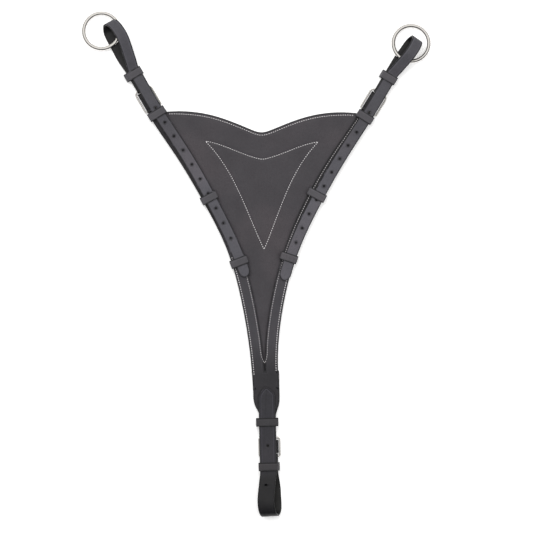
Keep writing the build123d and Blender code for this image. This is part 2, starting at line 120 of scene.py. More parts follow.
def top_outlines(node, height):
    """The closed outlines of a node's upward faces at that height, with leather on their left."""
    places = corners(node)
    keys = [tuple(np.round(place[:2], 3)) for place in places]
    sides = set()
    for polygon in nodes[node].data.polygons:
        ring = list(polygon.vertices)
        if polygon.normal.z > 0.9 and all(abs(places[i][2] - height) < 0.02 for i in ring):
            for start, end in zip(ring, ring[1:] + ring[:1]):
                if keys[start] != keys[end]:
                    sides.add((keys[start], keys[end]))
    following = {start: end for start, end in sides if (end, start) not in sides}
    outlines = []
    while following:
        start, here = following.popitem()
        outline = [start]
        while here != start and here in following:
            outline.append(here)
            here = following.pop(here)
        outlines.append(np.array(outline))
    return sorted(outlines, key=lambda outline: -abs(area(outline)))


def turns(points):
    """The turn at each point of a closed outline, in radians."""
    steps = np.roll(points, -1, 0) - points
    headings = np.arctan2(steps[:, 1], steps[:, 0])
    return (headings - np.roll(headings, 1) + pi) % (2 * pi) - pi


def along_path(points, spacing):
    """Points about that far apart on an open line, its two ends included."""
    points = np.asarray(points, float)
    lengths = np.linalg.norm(np.diff(points, axis=0), axis=1)
    reach = np.concatenate([[0], np.cumsum(lengths)])
    count = max(1, round(reach[-1] / spacing))
    wanted = np.linspace(0, reach[-1], count + 1)
    return np.stack([np.interp(wanted, reach, points[:, k]) for k in range(points.shape[1])], 1)


def evenly(points, spacing):
    """A closed outline with evenly spaced points, which keeps its corners."""
    sharp = [i for i, turn in enumerate(turns(points)) if abs(turn) > radians(28)] or [0]
    spans = []
    for start, end in zip(sharp, sharp[1:] + [sharp[0] + len(points)]):
        span = points[[i % len(points) for i in range(start, end + 1)]]
        spans.append(along_path(span, spacing)[:-1])
    return np.concatenate(spans)


def inset(points, distance, mitre=1.6):
    """A closed outline moved that far to its left, into the leather."""
    steps = np.roll(points, -1, 0) - points
    steps /= np.linalg.norm(steps, axis=1)[:, None]
    lefts = np.stack([-steps[:, 1], steps[:, 0]], 1)
    middle = lefts + np.roll(lefts, 1, 0)
    middle /= np.linalg.norm(middle, axis=1)[:, None]
    stretch = 1 / np.maximum(1 / mitre, np.sum(middle * lefts, 1))
    return points + middle * stretch[:, None] * distance


def round_hole(points):
    """A punched hole as a smooth circle, with the leather on the left."""
    centre = (points.min(0) + points.max(0)) / 2
    angles = -np.arange(HOLE_STEPS) * 2 * pi / HOLE_STEPS
    return centre + HOLE_RADIUS * np.stack([np.cos(angles), np.sin(angles)], 1)


def seam_line(node):
    """The middle line of a CAD seam. A closed one ends where it starts."""
    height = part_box(node)[1].z / MM
    outlines = top_outlines(node, height)
    if len(outlines) > 1:
        inner = min(outlines[:2], key=area)
        line = inset(inner, THREAD_WIDTH / 2, mitre=3.0)
        return np.concatenate([line, line[:1]])
    outline = outlines[0]
    turn = turns(outline)
    length = np.linalg.norm(np.roll(outline, -1, 0) - outline, axis=1)
    count = len(outline)
    ends = [
        i for i in range(count)
        if abs(length[i] - THREAD_WIDTH) < 0.1 and turn[i] > 1 and turn[(i + 1) % count] > 1
    ]
    first, last = ends[0] + 1, ends[1]
    beside = inset(outline, THREAD_WIDTH / 2, mitre=3.0)[first + 1:last]
    tips = [(outline[i] + outline[(i + 1) % count]) / 2 for i in (ends[0], ends[1])]
    return np.concatenate([tips[:1], beside, tips[1:]])


# ---- Making meshes ----
def make_mesh(name, places, faces, edge, material):
    """A piece from points in millimetres.

    edge says how near each point is to a cut edge, from 0 to 1. It is negative where a painted
    highlight lightens the leather beside a creased line, and above 1 on its flesh side, which is
    darkened there as painted shade.
    """
    mesh = bpy.data.meshes.new(name)
    mesh.from_pydata([tuple(place * MM) for place in places], [], [tuple(face) for face in faces])
    mesh.validate()
    mesh.update()
    attribute = mesh.attributes.new("edge", "FLOAT", "POINT")
    attribute.data.foreach_set("value", np.asarray(edge, np.float32))
    mesh.shade_smooth()
    piece = bpy.data.objects.new(name, mesh)
    bpy.context.scene.collection.objects.link(piece)
    mesh.materials.append(material)
    return piece


def inside(points, outlines):
    """Whether each point lies in the leather between the outlines."""
    hits = np.zeros(len(points), int)
    for outline in outlines:
        for start, end in zip(outline, np.roll(outline, -1, 0)):
            spans = (start[1] > points[:, 1]) != (end[1] > points[:, 1])
            rise = end[1] - start[1]
            if spans.any():
                crossing = start[0] + (points[:, 1] - start[1]) / rise * (end[0] - start[0])
                hits += spans & (points[:, 0] < crossing)
    return hits % 2 == 1


def clear_of(points, others, distance):
    """The points that lie at least that far from all the others."""
    keep = np.ones(len(points), bool)
    for place in others:
        keep &= np.abs(points - place).max(1) > distance
    return points[keep]


def filled(outlines, extra):
    """Triangles over the outlines' leather, which also use the extra points."""
    flat = np.concatenate(list(outlines) + [extra[:, :2]])
    edges = []
    first = 0
    for outline in outlines:
        count = len(outline)
        edges += [(first + i, first + (i + 1) % count) for i in range(count)]
        first += count
    found = delaunay_2d_cdt([Vector(place) for place in flat], edges, [], 0, 1e-5)
    origin = [sources[0] if sources else 0 for sources in found[3]]
    triangles = np.array([[origin[i] for i in face] for face in found[2]])
    middles = flat[triangles].mean(1)
    triangles = triangles[inside(middles, outlines)]
    a, b, c = (flat[triangles[:, k]] for k in range(3))
    clockwise = (b[:, 0] - a[:, 0]) * (c[:, 1] - a[:, 1]) < (b[:, 1] - a[:, 1]) * (c[:, 0] - a[:, 0])
    triangles[clockwise] = triangles[clockwise][:, ::-1]
    return triangles


def near_edge(distance, reach=2.4):
    """The edge value at a distance from a cut edge: 1 on it and 0 beyond the reach."""
    share = np.clip(1 - np.asarray(distance, float) / reach, 0, 1)
    return share * share * (3 - 2 * share)


def side_rows(low, high, rounding, creases):
    """(inset, height, edge) rows from a plate's underside round its edge to its top, with a painted highlight
    beside each creased line.
    """
    rows = []
    for step in range(4):
        turn = step / 3 * pi / 2
        rows.append((rounding * (1 - sin(turn)), low + rounding * (1 - cos(turn))))
    for step in range(4):
        turn = step / 3 * pi / 2
        rows.append((rounding * (1 - cos(turn)), high - rounding * (1 - sin(turn))))
    rows = [(reach, height, float(near_edge(reach))) for reach, height in rows]
    for place, width, depth, rubbed in creases:
        for share, sunk in ((-1, 0), (-0.4, 0.8), (0, 1), (0.4, 0.8)):
            reach = place + width * share
            rows.append((reach, high - depth * sunk, float(near_edge(reach))))
        # Painted highlight: a negative edge value lightens the crease's shoulder.
        rows += [(place + width, high, -rubbed), (place + 2 * width, high, 0.0)]
    return rows


def plate(name, outlines, low, high, rounding, creases, material, seams=(), relief=None):
    """A flat leather piece with rounded edges, creased lines and sunk seams."""
    places, faces, edge, under_ids, upper_ids = [], [], [], [], []
    for outline in outlines:
        hole = area(outline) < 0
        corner, lines = (HOLE_ROUNDING, []) if hole else (rounding, creases)
        rows = side_rows(low, high, corner, lines)
        count = len(outline)
        first = len(places)
        for reach, height, value in rows:
            places += [(x, y, height) for x, y in inset(outline, reach)]
            edge += [value * (0.7 if hole else 1.0)] * count
        for row in range(len(rows) - 1):
            for i in range(count):
                a = first + row * count + i
                b = first + row * count + (i + 1) % count
                faces.append((a, b, b + count, a + count))
        under_ids.append(np.arange(first, first + count))
        upper_ids.append(np.arange(len(places) - count, len(places)))
    every = np.array(places)
    unders = [every[ids][:, :2] for ids in under_ids]
    uppers = [every[ids][:, :2] for ids in upper_ids]
    ids = np.concatenate(under_ids)
    faces += [tuple(ids[triangle][::-1]) for triangle in filled(unders, np.zeros((0, 3)))]
    extra = inner_points(uppers, sunk_points(seams))
    ids = np.concatenate(upper_ids + [np.arange(len(places), len(places) + len(extra))])
    places += [(x, y, high - depth) for x, y, depth in extra]
    edge += [0.0] * len(extra)
    faces += [tuple(ids[triangle]) for triangle in filled(uppers, extra)]
    places = np.array(places)
    if relief:
        upper = places[:, 2] > low + (high - low) * 0.6
        places[upper, 2] += [relief(x, y) for x, y in places[upper, :2]]
    return make_mesh(name, places, faces, edge, material)


def inner_points(outlines, sunk):
    """A grid of points inside the outlines, with the sunk points of the seams: x, y, depth."""
    low, high = outlines[0].min(0), outlines[0].max(0)
    rows = enumerate(np.arange(low[1], high[1], GRID))
    grid = [(x + row % 2 * GRID / 2, y) for row, y in rows for x in np.arange(low[0], high[0], GRID)]
    grid = np.array(grid)
    grid = grid[inside(grid, outlines)]
    grid = clear_of(grid, np.concatenate(outlines), GRID * 0.45)
    sunk = sunk[inside(sunk[:, :2], outlines)]
    grid = clear_of(grid, sunk[:, :2], GRID * 0.5)
    return np.concatenate([sunk, np.column_stack([grid, np.zeros(len(grid))])])


def sunk_points(seams):
    """Points beside and along each seam, sunk where the thread pulls the leather in."""
    found = []
    for line in seams:
        path = along_path(line, STITCH_PITCH / 4)
        steps = np.gradient(path, axis=0)
        steps /= np.linalg.norm(steps, axis=1)[:, None]
        lefts = np.stack([-steps[:, 1], steps[:, 0]], 1)
        for shift, depth in SEAM_GROOVE:
            beside = path + lefts * shift
            pull = depth * (1 + 0.35 * np.cos(np.arange(len(path)) * pi / 2))
            found.append(np.column_stack([beside, pull]))
    return np.concatenate(found) if found else np.zeros((0, 3))


def stitches(name, line, height, body, thread):
    """One twisted thread stitch after another along a seam's middle line."""
    path = along_path(line, STITCH_PITCH)
    around, rows = 10, 8
    places, faces = [], []
    for start, end in zip(path[:-1], path[1:]):
        middle = (start + end) / 2
        seam = (end - start) / np.linalg.norm(end - start)
        ahead = seam + STITCH_SLANT * np.array([-seam[1], seam[0]])
        left = np.array([-ahead[1], ahead[0]])
        first = len(places)
        for row in range(rows + 1):
            along = -cos(row / rows * pi)
            swell = STITCH_RADIUS * max(0.0, 1 - along ** 2) ** 0.33 + 0.02
            for step in range(around):
                turn = step / around * 2 * pi
                twist = 1 + 0.1 * sin(2 * turn + along * 6.5)
                x, z = cos(turn) * swell * twist, sin(turn) * swell * twist * 0.85
                flat = middle + ahead * along * STITCH_LENGTH / 2 + left * x
                drop = STITCH_SINK + STITCH_DIVE * along ** 4
                places.append(np.array([flat[0], flat[1], height + z - drop]))
        for row in range(rows):
            for step in range(around):
                a, b = first + row * around + step, first + row * around + (step + 1) % around
                faces.append((a, a + around, b + around, b))
        faces.append(tuple(first + step for step in range(around)))
        faces.append(tuple(first + rows * around + step for step in reversed(range(around))))
    piece = make_mesh(name, places, faces, np.zeros(len(places)), thread)
    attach(piece, body)
    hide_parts(name.removesuffix("_thread"))
    return piece


# ---- Materials ----
class Nodes:
    """Short calls that add shader nodes to one material."""

    def __init__(self, name):
        self.material = bpy.data.materials.new(name)
        self.material.use_nodes = True
        self.tree = self.material.node_tree
        self.shader = self.tree.nodes["Principled BSDF"]
        self.place = self.add("ShaderNodeTexCoord").outputs["Object"]

    def add(self, kind, **settings):
        node = self.tree.nodes.new(kind)
        for key, value in settings.items():
            setattr(node, key, value)
        return node

    def join(self, source, target):
        self.tree.links.new(source, target)

    def noise(self, scale, detail=3.0, stretch=None):
        """Soft noise over the piece, finer along an axis that is stretched more."""
        node = self.add("ShaderNodeTexNoise")
        node.inputs["Scale"].default_value = scale
        node.inputs["Detail"].default_value = detail
        place = self.place
        if stretch:
            mapping = self.add("ShaderNodeMapping")
            mapping.inputs["Scale"].default_value = stretch
            self.join(self.place, mapping.inputs["Vector"])
            place = mapping.outputs["Vector"]
        self.join(place, node.inputs["Vector"])
        return node.outputs["Fac"]

    def cells(self, scale):
        """Distance to the nearest crease of a pebbled grain."""
        node = self.add("ShaderNodeTexVoronoi", feature="DISTANCE_TO_EDGE")
        node.inputs["Scale"].default_value = scale
        node.inputs["Randomness"].default_value = 1.0
        self.join(self.place, node.inputs["Vector"])
        return node.outputs["Distance"]

    def ramp(self, source, low, high, to_low=0.0, to_high=1.0):
        """Maps a value's range from low to high onto another range, and clamps it."""
        node = self.add("ShaderNodeMapRange")
        node.inputs["From Min"].default_value = low
        node.inputs["From Max"].default_value = high
        node.inputs["To Min"].default_value = to_low
        node.inputs["To Max"].default_value = to_high
        self.join(source, node.inputs["Value"])
        return node.outputs["Result"]

    def math(self, operation, first, second):
        """Arithmetic on two values, each a number or a socket."""
        node = self.add("ShaderNodeMath", operation=operation)
        for value, socket in ((first, node.inputs[0]), (second, node.inputs[1])):
            if isinstance(value, (int, float)):
                socket.default_value = value
            else:
                self.join(value, socket)
        return node.outputs["Value"]

    def mix(self, share, first, second):
        """The first colour, and as much of the second as the share says."""
        node = self.add("ShaderNodeMix", data_type="RGBA")
        sockets = [s for s in node.inputs if s.type == "RGBA"]
        for value, socket in ((first, sockets[0]), (second, sockets[1])):
            if isinstance(value, tuple):
                socket.default_value = (*value, 1)
            else:
                self.join(value, socket)
        self.join(share, node.inputs["Factor"])
        return [s for s in node.outputs if s.type == "RGBA"][0]

    def paint_shade_band(self, colour, band):
        """Painted shade: multiplies a colour by a factor that takes hold between two places along Y."""
        start, end, factor = band
        split = self.add("ShaderNodeSeparateXYZ")
        self.join(self.place, split.inputs["Vector"])
        node = self.add("ShaderNodeMix", data_type="RGBA", blend_type="MULTIPLY")
        self.join(self.ramp(split.outputs["Y"], start, end), node.inputs["Factor"])
        sockets = [s for s in node.inputs if s.type == "RGBA"]
        self.join(colour, sockets[0])
        sockets[1].default_value = (factor, factor, factor, 1)
        return [s for s in node.outputs if s.type == "RGBA"][0]

    def bump(self, height, strength, distance, below=None):
        """Small relief from a height, laid over other relief if there is any below."""
        node = self.add("ShaderNodeBump")
        node.inputs["Strength"].default_value = strength
        node.inputs["Distance"].default_value = distance
        self.join(height, node.inputs["Height"])
        if below:
            self.join(below, node.inputs["Normal"])
        return node.outputs["Normal"]


def scaled(colour, factor):
    return tuple(min(1.0, channel * factor) for channel in colour)


def leather(name, colour, edge_colour, roughness, grain_scale, grain_depth, *bands):
    """Dyed leather: pebbled grain, pores, soft mottling, burnished darker edges, light wear, a
    painted highlight beside creased lines and painted shade on the flesh side.

    Each band is painted shade: where along Y it starts and ends, and how dark the leather is
    past its end.
    """
    n = Nodes(name)
    mottle = n.ramp(n.noise(26, 4), 0.3, 0.7)
    fine = n.ramp(n.noise(420, 4), 0.25, 0.75)
    tone = n.mix(mottle, scaled(colour, 0.86), scaled(colour, 1.14))
    warm = tuple(channel * share for channel, share in zip(colour, (1.6, 1.42, 1.38)))
    tone = n.mix(n.ramp(n.noise(11, 2), 0.5, 0.75, 0.0, 0.8), tone, warm)
    tone = n.mix(n.ramp(n.cells(grain_scale), 0.0, 0.16), scaled(colour, 0.72), tone)
    tone = n.mix(n.math("MULTIPLY", fine, 0.22), tone, scaled(colour, 1.5))
    # The edge value carries burnished edges and wear, and also the painted highlight beside creased lines and the
    # painted shade of the flesh side.
    edge = n.add("ShaderNodeAttribute", attribute_name="edge").outputs["Fac"]
    tone = n.mix(n.ramp(edge, 0.25, 0.85), tone, edge_colour)
    rub = n.math("MULTIPLY", n.ramp(edge, 0.55, 0.75), n.ramp(n.noise(190, 5), 0.56, 0.72))
    tone = n.mix(n.math("MULTIPLY", rub, 0.4), tone, scaled(colour, 2.6))
    # Painted highlight: where the edge value is negative, beside creased lines, the leather is lightened.
    tone = n.mix(n.ramp(edge, -0.05, -0.9), tone, scaled(colour, 2.4))
    # Painted shade: the flesh side, under the straps and inside loops and keepers, is darkened nearly to black.
    tone = n.mix(n.ramp(edge, 1.15, 1.5), tone, scaled(colour, 0.1))
    # Painted shade: each band darkens the leather past a place along Y, from uneven light.
    for band in bands:
        tone = n.paint_shade_band(tone, band)
    n.join(tone, n.shader.inputs["Base Color"])
    rough = n.ramp(n.noise(75, 4), 0.25, 0.75, roughness - 0.07, roughness + 0.08)
    rough = n.math("SUBTRACT", rough, n.math("MULTIPLY", edge, 0.08))
    n.join(rough, n.shader.inputs["Roughness"])
    pebble = n.ramp(n.cells(grain_scale), 0.0, 0.22)
    pores = n.bump(n.noise(grain_scale * 3.2, 5), 0.35, 0.00006)
    n.join(n.bump(pebble, 0.6, grain_depth, pores), n.shader.inputs["Normal"])
    n.shader.inputs["Specular IOR Level"].default_value = 0.42
    return n.material


def flesh_side(name, colour):
    """The suede back of the lining: matt, fibrous and blotchy."""
    n = Nodes(name)
    fibre = n.ramp(n.noise(900, 6), 0.3, 0.7)
    tone = n.mix(n.ramp(n.noise(60, 5), 0.3, 0.7), scaled(colour, 0.8), scaled(colour, 1.25))
    tone = n.mix(n.math("MULTIPLY", fibre, 0.35), tone, scaled(colour, 1.9))
    edge = n.add("ShaderNodeAttribute", attribute_name="edge").outputs["Fac"]
    tone = n.mix(n.ramp(edge, 0.3, 0.9), tone, scaled(colour, 0.5))
    n.join(tone, n.shader.inputs["Base Color"])
    n.shader.inputs["Roughness"].default_value = 0.9
    n.shader.inputs["Sheen Weight"].default_value = 0.15
    n.join(n.bump(fibre, 0.7, 0.0002), n.shader.inputs["Normal"])
    return n.material


def waxed_thread(name, colour):
    """Linen thread: fine fibres, a little grime and a dull wax finish."""
    n = Nodes(name)
    fibre = n.noise(1600, 5)
    tone = n.mix(n.ramp(fibre, 0.3, 0.7), scaled(colour, 0.78), scaled(colour, 1.1))
    tone = n.mix(n.ramp(n.noise(45, 3), 0.35, 0.7, 0.0, 0.35), tone, scaled(colour, 0.7))
    n.join(tone, n.shader.inputs["Base Color"])
    n.shader.inputs["Roughness"].default_value = 0.62
    n.join(n.bump(fibre, 0.5, 0.00008), n.shader.inputs["Normal"])
    return n.material


def nickel(name, colour, shade_height=None):
    """Polished nickel plate with hairline scratches and haze, and painted shade above a height."""
    n = Nodes(name)
    haze = n.ramp(n.noise(70, 5), 0.3, 0.75)
    tone = n.mix(haze, scaled(colour, 0.93), colour)
    if shade_height:
        # Painted shade: above that height a tongue's tip lies down in a strap's hole, and is made nearly black.
        split = n.add("ShaderNodeSeparateXYZ")
        n.join(n.place, split.inputs["Vector"])
        tone = n.mix(n.ramp(split.outputs["Z"], shade_height, shade_height + 0.0003), tone, scaled(colour, 0.04))
    n.join(tone, n.shader.inputs["Base Color"])
    n.shader.inputs["Metallic"].default_value = 1.0
    scratch = n.noise(500, 6, (1.0, 7.0, 3.0))
    rough = n.math("ADD", n.ramp(haze, 0, 1, 0.1, 0.19), n.ramp(scratch, 0.6, 0.8, 0, 0.12))
    n.join(rough, n.shader.inputs["Roughness"])
    n.join(n.bump(scratch, 0.12, 0.00003), n.shader.inputs["Normal"])
    return n.material


BLACK_EDGE = (0.012, 0.012, 0.014)
# The bands after each leather's grain settings are painted shade: the leather darkens past a place along Y, where
# uneven light left it in shade.
TAIL_LEATHER = leather(
    "ring_strap_leather", (0.08, 0.078, 0.091), BLACK_EDGE, 0.5, 1150, 0.00007,
    (0.03, 0.08, 0.76),
)
YOKE_LEATHER = leather(
    "yoke_leather", (0.044, 0.042, 0.049), BLACK_EDGE, 0.5, 950, 0.0001,
    (-0.17, -0.21, 0.48), (-0.06, -0.02, 0.36),
)
GIRTH_LEATHER = leather(
    "girth_leather", (0.0235, 0.0228, 0.0285), BLACK_EDGE, 0.46, 1150, 0.00007,
    (-0.318, -0.335, 0.25),
)
BIB_LEATHER = leather("bib_leather", (0.049, 0.045, 0.051), BLACK_EDGE, 0.56, 800, 0.00014)
KEEPER_LEATHER = leather(
    "keeper_leather", (0.067, 0.064, 0.072), BLACK_EDGE, 0.5, 1150, 0.00007, (-0.15, -0.25, 0.52),
)
LINING_LEATHER = flesh_side("lining_suede", (0.045, 0.043, 0.046))
THREAD = waxed_thread("waxed_thread", (0.95, 0.9, 0.92))
YOKE_THREAD = waxed_thread("yoke_thread", (0.6, 0.57, 0.58))
NICKEL = nickel("nickel_plate", (0.78, 0.76, 0.73))
# Painted shade: the tongues' nickel goes nearly black above 4.9 mm, where their tips sit down in the strap holes.
SHADED_TONGUE_NICKEL = nickel("tongue_nickel_painted_shade", (0.72, 0.7, 0.68), 0.0049)


# ---- The bib ----
def flat_bib():
    """The lining, the front panel and the yoke, one on another, and the seams through them."""
    seams = {name: seam_line(name) for name in nodes if "stitching" in name}
    panel_low, panel_high = (corner.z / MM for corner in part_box("bib_front_panel"))
    outlines = [evenly(o, OUTLINE_STEP) for o in top_outlines("bib_lining", panel_low)]
    lining = plate("lining", outlines, 0.0, panel_low, 0.35, [], LINING_LEATHER)
    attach(lining, "bib")
    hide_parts("bib_lining")
    outlines = [evenly(o, OUTLINE_STEP) for o in top_outlines("bib_front_panel", panel_high)]
    panel = plate(
        "front_panel", outlines, panel_low, panel_high, 0.55, [PANEL_CREASE], BIB_LEATHER,
        [seams["bib_top_stitching"], seams["bib_centre_stitching"]],
        lambda x, y: 0.12 * noise.noise(Vector((x, y, 0)) * 0.03),
    )
    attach(panel, "bib")
    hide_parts("bib_front_panel")
    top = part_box("yoke_inner_stitching")[0].z / MM
    outlines = [evenly(o, OUTLINE_STEP) for o in top_outlines("yoke_strap", top)]
    yoke_seams = [line for name, line in seams.items() if name.startswith("yoke")]
    yoke = plate(
        "yoke", outlines, panel_high, top, 0.7, [YOKE_CREASE], YOKE_LEATHER,
        yoke_seams,
    )
    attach(yoke, "bib")
    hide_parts("yoke_strap")
    for name, line in seams.items():
        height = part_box(name)[0].z / MM
        thread = YOKE_THREAD if name.startswith("yoke_inner") else THREAD
        stitches(f"{name}_thread", line, height + 0.08, "bib", thread)


# ---- Adjustable straps ----
class Strap:
    """Where one adjustable strap lies, read from its fold joint, and the shape of its loop.

    The loop turns off by loop_turn degrees at the bend, is loop_length long from there, and
    leans sideways by the share lean of its height. The buckle sits off the middle by
    frame_shift, and joint_end is where the front strap meets the loop's piece.
    """

    def __init__(self, word, *, loop_turn, bend, loop_length, lean, frame_shift, joint_end):
        self.word = word
        self.node = "girth_strap" if word == "girth" else f"{word}_ring_strap"
        joint = joints[f"{self.node}_fold"]
        self.pivot = np.array(joint["pos_m"]) / MM * (1, 1, 0)
        self.across = np.array(joint["axis"])
        self.along = np.array([-self.across[1], self.across[0], 0])
        turn = radians(loop_turn)
        self.loop_along = self.along * cos(turn) + self.across * sin(turn)
        self.loop_across = self.across * cos(turn) - self.along * sin(turn)
        self.bend = bend
        self.loop_length = loop_length
        self.lean = lean
        self.frame_shift = frame_shift
        self.joint_end = joint_end
        self.front, self.top = (corner.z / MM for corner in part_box(self.tail))
        self.material = GIRTH_LEATHER if word == "girth" else TAIL_LEATHER

    @property
    def tail(self):
        """The CAD node of its punched end."""
        return f"{self.word}_strap_tail"

    def point(self, distance, shift=0.0, height=0.0):
        """A point that far along the strap from the pivot, across it and up."""
        return self.pivot + self.along * distance + self.across * shift + (0, 0, height)

    def loop_point(self, distance, shift=0.0, height=0.0):
        """A point measured from the bend, which is before it where the distance is negative."""
        if distance < 0:
            return self.point(self.bend + distance, shift, height)
        start = self.point(self.bend, 0, height)
        return start + self.loop_along * distance + self.loop_across * shift


def smooth_path(points, spacing):
    """A Catmull-Rom curve through the points, with points about that far apart."""
    points = np.asarray(points, float)
    before = np.concatenate([[2 * points[0] - points[1]], points[:-1]])
    after = np.concatenate([points[1:], [2 * points[-1] - points[-2]]])
    found = []
    for i in range(len(points) - 1):
        p0, p1, p2, p3 = before[i], points[i], points[i + 1], after[i + 1]
        for t in np.linspace(0, 1, 24, endpoint=False):
            found.append(0.5 * (
                2 * p1 + (p2 - p0) * t + (2 * p0 - 5 * p1 + 4 * p2 - p3) * t ** 2
                + (3 * p1 - p0 - 3 * p2 + p3) * t ** 3
            ))
    return along_path(found + [points[-1]], spacing)


def strap_section(width, thickness, rounding, crease):
    """A strap's closed section as (across, up) points and how near each is to a cut edge, with marks for the
    painted highlight and painted shade.
    """
    half, rise = width / 2, thickness / 2
    rounding = min(rounding, rise * 0.7)
    quarter = []
    for step in range(5):
        turn = step / 4 * pi / 2
        quarter.append((half - rounding * (1 - sin(turn)), rise - rounding * (1 - cos(turn))))
    upper = [(half - crease - 0.5, rise), (half - crease - 0.2, rise - 0.14),
             (half - crease, rise - 0.18), (half - crease + 0.2, rise - 0.14),
             (half - crease + 0.5, rise)]
    right = [(0.0, rise), (half * 0.5, rise)] + upper + quarter
    lower = [(x, -y) for x, y in quarter[::-1]] + [(half * 0.5, -rise)]
    around = right + lower + [(0.0, -rise)]
    left = [(-x, y) for x, y in around[1:-1]][::-1]
    section = np.array(around + left)
    nearness_and_painted_light = near_edge(half - np.abs(section[:, 0]))
    # Painted highlight: the top beside the creased line is marked to be lightened.
    highlight_rim = np.abs(np.abs(section[:, 0]) - (half - crease - 0.5)) < 0.01
    nearness_and_painted_light[highlight_rim & (section[:, 1] > 0)] = -RIM_HIGHLIGHT
    # Painted shade: the flesh side below is marked to be darkened.
    nearness_and_painted_light[(section[:, 1] < 0) & (np.abs(section[:, 0]) < half - rounding * 0.5)] = FLESH_SIDE_SHADE
    return section, nearness_and_painted_light


def sweep(name, path, across, width, crease, material, rounding=0.6):
    """Leather bent along a path of (x, y, z, thickness), with its width along across."""
    ahead = np.gradient(path[:, :3], axis=0)
    ahead /= np.linalg.norm(ahead, axis=1)[:, None]
    places, edge, faces = [], [], []
    for place, forward, sideways in zip(path, ahead, across):
        up = np.cross(sideways, forward)
        up /= np.linalg.norm(up)
        section, nearness_and_painted_light = strap_section(width, place[3], rounding, crease)
        places += [place[:3] + sideways * x + up * y for x, y in section]
        edge += list(nearness_and_painted_light)
    count = len(section)
    for row in range(len(path) - 1):
        for i in range(count):
            a, b = row * count + i, row * count + (i + 1) % count
            faces.append((a, b, b + count, a + count))
    faces.append(tuple(reversed(range(count))))
    faces.append(tuple(range((len(path) - 1) * count, len(path) * count)))
    return make_mesh(name, places, faces, edge, material)


def cut(piece, cutter):
    """Takes the cutter's shape out of the piece."""
    modifier = piece.modifiers.new("cut", "BOOLEAN")
    modifier.operation = "DIFFERENCE"
    modifier.solver = "EXACT"
    modifier.object = cutter
    bpy.context.view_layer.update()
    done = bpy.data.meshes.new_from_object(piece.evaluated_get(bpy.context.evaluated_depsgraph_get()))
    piece.modifiers.clear()
    piece.data = done
    bpy.data.objects.remove(cutter)


def prism(points, low, high):
    """An upright closed solid over an outline, for cutting."""
    count = len(points)
    places = [(x * MM, y * MM, z * MM) for z in (low, high) for x, y in points]
    faces = [(i, (i + 1) % count, (i + 1) % count + count, i + count) for i in range(count)]
    faces += [tuple(reversed(range(count))), tuple(range(count, 2 * count))]
    mesh = bpy.data.meshes.new("cutter")
    mesh.from_pydata(places, [], faces)
    piece = bpy.data.objects.new("cutter", mesh)
    bpy.context.scene.collection.objects.link(piece)
    return piece


def cut_tongue_slot(piece, strap, distance, shift, low=-5.0):
    """The slot where the tongue passes through a fold, from a height upward."""
    half, reach = TONGUE_SLOT[0] / 2, TONGUE_SLOT[1] / 2
    sides = [(-half, -reach), (half, -reach), (half, reach), (-half, reach)]
    points = [strap.point(distance + v, shift + u)[:2] for u, v in sides]
    cut(piece, prism(points, low, CUT_RISE))


def front_strap(strap, crease):
    """The punched end and the front layer over the buckle, as one flat strap."""
    outer, *holes = top_outlines(strap.tail, strap.top)
    distances = (outer - strap.pivot[:2]) @ strap.along[:2]
    shifts = (outer - strap.pivot[:2]) @ strap.across[:2]
    near = distances > -10
    start = next(i for i in range(len(outer)) if near[i - 1] and not near[i])
    kept = [i % len(outer) for i in range(start, start + len(outer)) if not near[i % len(outer)]]
    half = float(shifts[near].max() - shifts[near].min()) / 2
    sides = (half, -half) if shifts[kept[-1]] > 0 else (-half, half)
    ends = [strap.point(strap.joint_end, side)[:2] for side in sides]
    outlines = [evenly(np.concatenate([outer[kept], ends]), OUTLINE_STEP)]
    outlines += [round_hole(hole) for hole in holes]
    piece = plate(
        f"{strap.word}_front_strap", outlines, strap.front, strap.top, 0.6, [crease],
        strap.material,
    )
    bends = (BEND_START, BEND_END)
    start, end = (strap.point(distance, 0, BAR_HEIGHT) * MM for distance in bends)
    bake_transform(piece)
    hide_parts(strap.tail)
    return half * 2


def loop_piece(strap, width):
    """The front layer's loop, the back layer and the fold round the buckle bar."""
    front = strap.front + STRAP / 2
    length, bend = strap.loop_length, strap.bend
    # Distance from the bend, height of the middle of the leather, thickness. First the front
    # layer rises over the loop and comes down round its end.
    route = [
        (strap.joint_end - 0.4 - bend, front, STRAP), (-1.5, front, STRAP),
        (0.2 * length, 11.5, STRAP), (0.6 * length, 16.8, STRAP), (0.88 * length, 14.8, STRAP),
        (length - 1.2, 8.4, STRAP), (0.87 * length, 2.6, STRAP),
    ]
    # Then it lies on the bench, and its skived end rises to the buckle bar.
    route += [
        (0.72 * length, 1.25, STRAP), (0.5 * length, 1.25, STRAP), (16, 1.25, STRAP),
        (4, 3.2, 2.1), (-2, 4.4, LAYER), (8 - bend, 4.7, LAYER),
        (2 - bend, BAR_HEIGHT + BAR_FOLD, FOLD_THICKNESS),
    ]
    # It goes round the bar and back under itself.
    for step in range(5):
        turn = pi / 2 + step / 4 * pi
        route.append((BAR_FOLD * cos(turn) - bend, BAR_HEIGHT + BAR_FOLD * sin(turn), FOLD_THICKNESS))
    route += [(5 - bend, 1.9, FOLD_THICKNESS), (9 - bend, 2.75, LAYER), (-3, 2.75, LAYER)]
    points = []
    for distance, height, thickness in route:
        if height == front:
            shift = 0.0
        elif distance > 0:
            shift = strap.lean * (height - front)
        else:
            shift = strap.frame_shift
        points.append((*strap.loop_point(distance, shift, height), thickness))
    path = smooth_path(points, 0.8)
    share = np.clip(((path[:, :3] - strap.point(bend)) @ strap.along + 4) / 8, 0, 1)[:, None]
    across = strap.across * (1 - share) + strap.loop_across * share
    piece = sweep(f"{strap.word}_loop", path, across, width, 1.4, strap.material)
    cut_tongue_slot(piece, strap, 0.0, strap.frame_shift)
    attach(piece, strap.node)
    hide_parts(strap.node)
    return piece


